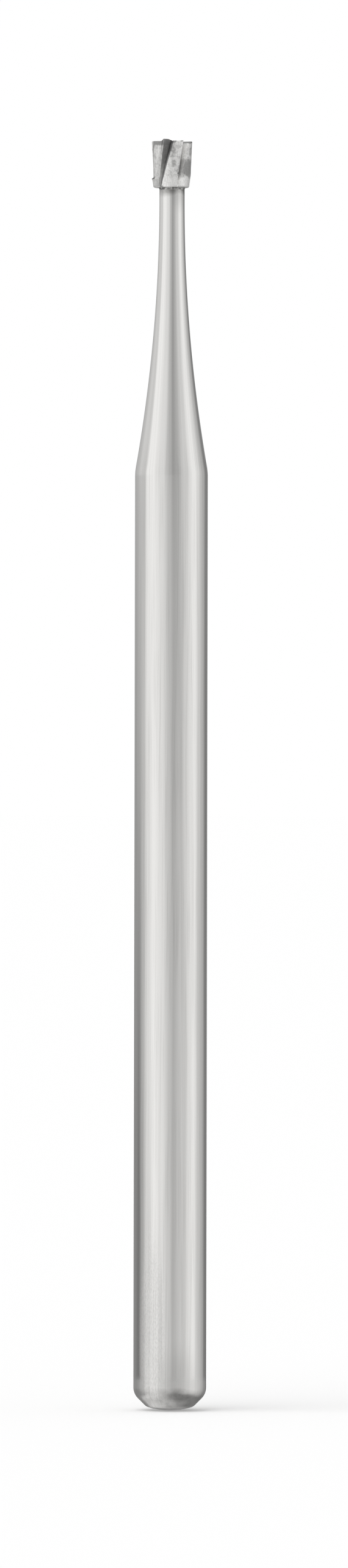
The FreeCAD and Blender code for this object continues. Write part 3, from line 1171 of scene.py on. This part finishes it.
    def spread(
        self, blotches: tuple[Blotch, ...], plan: np.ndarray, height: np.ndarray
    ) -> np.ndarray:
        """How much the blotches cover each point: a sum of flattened bell curves.

        A curve is e to the minus s to the power of one and a half, where s sums the fourth
        powers of the ways across and up, each as a share of the blotch's half size.

        Args:
            blotches: what is spread.
            plan: the points' places in plan.
            height: their heights above the foot.

        Returns:
            One number for each point.
        """
        azimuth = np.degrees(np.angle(plan)) + 90.0
        total = np.zeros(azimuth.shape)
        for blotch in blotches:
            apart = (azimuth - blotch.azimuth + 180.0) % 360.0 - 180.0
            across = np.radians(apart) * self.cone_tip_radius / blotch.half_width
            up = (height - blotch.height) / blotch.half_height
            total += blotch.strength * np.exp(-((across**4 + up**4) ** 1.5))
        return total

    def painted_line_shades(self, slices: Slices, height: np.ndarray) -> np.ndarray:
        """Painted shade in lines: in the flutes' roots, and on both sides of the flute in front.

        A root's painted shade is a bell curve of the gap to the root, where the flute is deep
        enough. Beside the flute in front, a painted shade on the heel of the land to its right
        falls evenly to nothing at its width. On the land to its left a painted shade lies along
        the edge, half dark at its width, which grows with the height, over a wider and softer one.

        Args:
            slices: where each point lies.
            height: its height above the foot.

        Returns:
            How dark each point is, from 0 to 1.
        """
        strength = np.where(self.blade == self.proud_blade, 1.0, self.faint_root_shade)
        deep = np.clip((slices.depth - self.root_shade_depth) / self.root_shade_fade, 0.0, 1.0)
        root = strength * deep * np.exp(-((slices.root_gap / self.root_shade_width) ** 2))
        on_land = self.zone == Zone.LAND.value
        inside = 1.0 - slices.past_mark / self.heel_shade_width
        heel = self.heel_shade_strength * np.clip(self.heel_shade_fall * inside, 0.0, 1.0)
        heel = heel * (on_land & (self.blade == self.proud_blade))
        rise = np.clip((height - self.edge_shade_from) / self.edge_shade_from, 0.0, 1.0)
        width = self.edge_shade_width * rise + self.least_cut
        inside = 1.0 - slices.before_mark / width
        edge = np.clip(0.5 + self.edge_shade_fall * inside, 0.0, 1.0)
        inside = 1.0 - slices.before_mark / self.soft_shade_width
        shade = self.soft_shade_strength * np.clip(inside, 0.0, 1.0)
        edge = np.maximum(self.edge_shade_strength * rise * edge, shade)
        edge = edge * (on_land & (self.blade == self.proud_blade - 1))
        return np.maximum(root, np.maximum(heel, edge))

    def build(self, finish: GroundCarbide) -> bpy.types.Object:
        """The head, in its carbide and in the frame.

        Rows run from the foot's middle out to its round, up the collar, across the ledge to
        the cone, up the cone to the end face over each column, and back to the middle.

        Args:
            finish: the carbide.

        Returns:
            The piece.
        """
        ledge_width = self.ledge_width()
        collar = self.collar_profile(ledge_width)
        low = self.section(collar.imag, collar.real, self.collar_offset + 0.0 * ledge_width)

        top = self.cone_top()
        shoulder, ledge = top - self.tip_round, self.collar_height + ledge_width / 2.0
        share = np.linspace(0.0, 1.0, self.cone_rows)[:, None]
        bend = np.linspace(0.0, math.pi / 2.0, self.round_rows)[1:, None]
        cone_height = np.concatenate(
            [
                ledge + (shoulder - ledge) * share,
                shoulder + self.tip_round * np.sin(bend),
            ]
        )
        inset = self.tip_round * np.concatenate([0.0 * share, 1.0 - np.cos(bend)])
        cone = self.along(self.cone_base_radius, self.cone_tip_radius, cone_height) - inset
        high = self.section(cone_height, cone, 0.0 * cone)

        inwards = np.linspace(1.0, 0.0, self.face_rows, endpoint=False)[1:, None]
        end_plan = high.plan[-1:] * inwards
        foot_plan = low.plan[:1] * inwards[::-1]
        plan = np.concatenate([foot_plan, low.plan, high.plan, end_plan])
        height = np.concatenate(
            [0.0 * foot_plan.real, collar.imag, cone_height, self.end_height(end_plan)]
        )
        uncut = np.zeros(end_plan.shape)
        depth = np.concatenate([uncut, low.depth, high.depth, uncut])
        burr = self.spread((self.burr,), plan, height)
        plan = plan * (1.0 + burr / self.collar_top_radius)
        rings = np.stack([plan.real, plan.imag, self.foot + height], axis=-1)
        middle = self.end_height(np.zeros((1, len(self.zone)), complex)).min()
        piece = closed_skin(
            "fluted_carbide_head",
            rings,
            (0.0, 0.0, self.foot),
            (0.0, 0.0, self.foot + middle),
        )
        in_flute = (depth > self.least_cut).astype(float)
        # Painted shade on the rake walls, blade by blade, darkest in the front blade's flute.
        dark = np.array(self.rake_shade_by_blade)[self.blade] * (self.zone <= Zone.ROOT_AHEAD.value)
        # Painted shade in lines on the collar and on the cone.
        collar_shades = self.painted_line_shades(low, collar.imag)
        cone_shades = self.painted_line_shades(high, cone_height)
        paint(piece, "flute", in_flute)
        paint(piece, "painted_rake_shade", in_flute * dark)
        paint(piece, "painted_line_shade", np.concatenate([uncut, collar_shades, cone_shades, uncut]))
        paint(piece, "collar", (height < self.collar_height).astype(float))
        # Dull stains and dark specks, with painted shade among both.
        paint(piece, "stain_and_shade", self.spread(self.blotches, plan, height))
        paint(piece, "speck_and_shade", np.clip(self.spread(self.specks, plan, height), 0.0, 1.0))
        piece.data.materials.append(finish.material())
        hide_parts("carbide_head")
        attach(piece, "root")
        return piece


# The studio


@dataclass
class Studio:
    """White floor and surround, a light tent for the metal to mirror, one soft lamp, camera.

    The lens and the sensor are in millimetres, as the camera takes them.
    """

    camera_distance: float = 330.0 * MM
    aim_height: float = 20.235 * MM
    aim_right: float = 0.1 * MM
    camera_roll: float = -0.108
    lens: float = 234.5
    sensor_width: float = 36.0
    clip_range: tuple[float, float] = (0.01, 20.0)
    floor_radius: float = 6.0
    floor_segments: int = 64
    floor_colour: Colour = (0.82, 0.82, 0.82)
    floor_glow: float = 0.16
    plain_level: float = 0.75
    lamp_strength: float = 1.0
    lamp_spread: float = 50.0
    lamp_turn_y: float = -25.0
    lamp_turn_x: float = 20.0
    tent_radius: float = 0.7
    tent_half_height: float = 0.5
    tent_segments: int = 96
    level_band: tuple[float, float] = (-0.03, 0.08)
    level_tones: Tones = (
        (-180.0, 0.29),
        (-143.0, 0.26),
        (-118.0, 0.18),
        (-98.0, 0.46),
        (-78.0, 0.74),
        (-55.0, 0.94),
        (-28.0, 0.84),
        (-5.0, 0.65),
        (12.0, 0.52),
        (32.0, 0.63),
        (80.0, 0.90),
        (97.0, 0.67),
        (117.0, 0.48),
        (143.0, 0.20),
        (180.0, 0.29),
    )
    upper_tones: Tones = (
        (-180.0, 0.40),
        (-145.0, 0.53),
        (-118.0, 0.69),
        (-93.0, 0.69),
        (-83.0, 0.95),
        (-60.0, 0.94),
        (-28.0, 0.77),
        (-8.0, 0.51),
        (8.0, 0.37),
        (20.0, 0.46),
        (45.0, 0.69),
        (78.0, 0.93),
        (97.0, 0.74),
        (118.0, 0.49),
        (143.0, 0.22),
        (180.0, 0.40),
    )
    card_tones: tuple[float, float] = (0.92, 0.24)
    card_fade: float = 0.35

    def stage_piece(
        self, name: str, rings: np.ndarray, shader: bpy.types.Material, rays: Rays
    ) -> bpy.types.Object:
        """A piece of the studio from rows of points that close on themselves.

        Args:
            name: name of the piece.
            rings: points of shape (rows, columns, 3).
            shader: its material.
            rays: which rays meet it.

        Returns:
            The piece, which casts no shadow.
        """
        rows, columns = rings.shape[:2]
        number = np.arange(rows * columns).reshape(rows, columns)
        beside = np.roll(number, -1, axis=1)
        faces = np.stack([number[:-1], beside[:-1], beside[1:], number[1:]], axis=-1)
        mesh = bpy.data.meshes.new(name)
        mesh.from_pydata(rings.reshape(-1, 3), [], faces.reshape(-1, 4).tolist())
        piece = bpy.data.objects.new(name, mesh)
        piece.data.materials.append(shader)
        bpy.context.scene.collection.objects.link(piece)
        seen = rays is Rays.ALL
        piece.visible_camera = piece.visible_diffuse = seen
        piece.visible_glossy = not seen
        piece.visible_shadow = piece.visible_transmission = False
        return piece

    def build_floor(self) -> None:
        """A pale matt floor with a faint glow for the camera, which keeps the bur's shadow."""
        bench = Bench("pale_floor")
        seen = bench.node("ShaderNodeLightPath").outputs["Is Camera Ray"]
        shader = bench.node("ShaderNodeBsdfPrincipled")
        shader.inputs["Base Color"].default_value = (*self.floor_colour, 1.0)
        shader.inputs["Roughness"].default_value = 1.0
        shader.inputs["Specular IOR Level"].default_value = 0.0
        shader.inputs["Emission Color"].default_value = WHITE
        glow = bench.math("MULTIPLY", seen, self.floor_glow)
        bench.feed(shader.inputs["Emission Strength"], glow)
        bench.feed(bench.node("ShaderNodeOutputMaterial").inputs["Surface"], shader.outputs[0])
        disc = turned(np.array([0j, self.floor_radius]), self.floor_segments)
        self.stage_piece("floor", disc[::-1], bench.material, Rays.ALL)

    def tone_ramp(
        self, bench: Bench, turn: bpy.types.NodeSocket, tones: Tones
    ) -> bpy.types.NodeSocket:
        """A smooth ramp of greys over the angle round the axis.

        Args:
            bench: where its nodes go.
            turn: the angle as a share of a full turn, 0.5 on the camera's side.
            tones: the greys, which are the same at both ends.

        Returns:
            The grey.
        """
        ramp = bench.node("ShaderNodeValToRGB")
        ramp.color_ramp.interpolation = "EASE"
        stops = ramp.color_ramp.elements
        for azimuth, tone in tones[1:-1]:
            stops.new(0.5 + azimuth / 360.0).color = (tone, tone, tone, 1.0)
        for stop, (_, tone) in ((stops[0], tones[0]), (stops[-1], tones[-1])):
            stop.color = (tone, tone, tone, 1.0)
        bench.feed(ramp.inputs["Fac"], turn)
        return ramp.outputs["Color"]

    def glowing(self, bench: Bench, tone: bpy.types.NodeSocket) -> bpy.types.Material:
        """Ends a material with a plain glow.

        Args:
            bench: where its nodes go.
            tone: the glow's colour.

        Returns:
            The finished material.
        """
        glow = bench.node("ShaderNodeEmission")
        bench.feed(glow.inputs["Color"], tone)
        bench.feed(bench.node("ShaderNodeOutputMaterial").inputs["Surface"], glow.outputs[0])
        return bench.material

    def build_tent(self) -> None:
        """A round wall that only the metal mirrors: white sides, grey front, dark rear corners.

        Higher up, where the tapered neck looks, the front is darker and the white sides wider.
        """
        bench = Bench("tent_cloth")
        quarter = bench.node("ShaderNodeMapping")
        quarter.inputs["Rotation"].default_value = (0.0, 0.0, math.pi / 2.0)
        bench.feed(quarter.inputs["Vector"], bench.place)
        round_axis = bench.node("ShaderNodeTexGradient", gradient_type="RADIAL")
        bench.feed(round_axis.inputs["Vector"], quarter.outputs["Vector"])
        turn = round_axis.outputs["Fac"]
        tone = bench.tint(
            bench.between(bench.along("Z"), *self.level_band),
            self.tone_ramp(bench, turn, self.level_tones),
            self.tone_ramp(bench, turn, self.upper_tones),
        )
        wall = self.tent_radius + 1j * self.tent_half_height * np.array([-1.0, 1.0])
        rings = turned(wall, self.tent_segments)
        self.stage_piece("tent_wall", rings, self.glowing(bench, tone), Rays.MIRRORED)

    def build_card(self) -> None:
        """A grey card below, darker to the right, which only the metal mirrors at its tail."""
        bench = Bench("grey_card")
        left, right = ((tone, tone, tone) for tone in self.card_tones)
        fade = bench.between(bench.along("X"), -self.card_fade, self.card_fade)
        tone = bench.tint(fade, left, right)
        level = -1j * self.tent_half_height
        disc = turned(np.array([level, self.tent_radius + level]), self.tent_segments)
        self.stage_piece("lower_card", disc, self.glowing(bench, tone), Rays.MIRRORED)

    def build_light(self) -> None:
        """White surround for camera and mirrored rays, plain level for the rest, soft lamp.

        The lamp shines from the upper left in front.
        """
        world = bpy.data.worlds.new("studio_surround")
        world.use_nodes = True
        bpy.context.scene.world = world
        nodes, links = world.node_tree.nodes, world.node_tree.links
        path = nodes.new("ShaderNodeLightPath")
        level = nodes.new("ShaderNodeMapRange")
        level.inputs["To Min"].default_value = self.plain_level
        level.inputs["To Max"].default_value = 1.0
        seen = path.outputs["Is Camera Ray"]
        for other in ("Is Glossy Ray", "Is Transmission Ray"):
            either = nodes.new("ShaderNodeMath")
            either.operation = "MAXIMUM"
            links.new(seen, either.inputs[0])
            links.new(path.outputs[other], either.inputs[1])
            seen = either.outputs[0]
        links.new(seen, level.inputs["Value"])
        background = nodes["Background"]
        background.inputs["Color"].default_value = WHITE
        links.new(level.outputs["Result"], background.inputs["Strength"])

        light = bpy.data.lights.new("soft_overhead", "SUN")
        light.energy = self.lamp_strength
        light.angle = math.radians(self.lamp_spread)
        lamp = bpy.data.objects.new("soft_overhead", light)
        aside = Matrix.Rotation(math.radians(self.lamp_turn_y), 4, "Y")
        lamp.matrix_world = aside @ Matrix.Rotation(math.radians(self.lamp_turn_x), 4, "X")
        lamp.visible_glossy = False
        bpy.context.scene.collection.objects.link(lamp)

    def build_camera(self) -> None:
        """The photograph's view: level, along +Y, with a long lens and the bur's faint lean."""
        data = bpy.data.cameras.new("photo_camera")
        data.lens = self.lens
        data.sensor_width = self.sensor_width
        data.clip_start, data.clip_end = self.clip_range
        camera = bpy.data.objects.new("photo_camera", data)
        camera.matrix_world = (
            Matrix.Translation((self.aim_right, -self.camera_distance, self.aim_height))
            @ Matrix.Rotation(math.radians(self.camera_roll), 4, "Y")
            @ Matrix.Rotation(math.pi / 2.0, 4, "X")
        )
        bpy.context.scene.collection.objects.link(camera)
        bpy.context.scene.camera = camera

    def build(self) -> None:
        """Floor, tent, card, light and camera."""
        self.build_floor()
        self.build_tent()
        self.build_card()
        self.build_light()
        self.build_camera()
        bpy.context.scene.view_settings.view_transform = "Standard"


def main() -> None:
    """Builds the bur's pieces in order, then the studio round them."""
    logging.basicConfig(level=logging.INFO, format="%(message)s")
    for piece in (
        Shank().build(ShankSteel()),
        BrazeJoint().build(BrazeMetal()),
        CarbideHead().build(GroundCarbide()),
    ):
        log.info("%s: %d points", piece.name, len(piece.data.vertices))
    Studio().build()


if __name__ == "__main__":
    main()
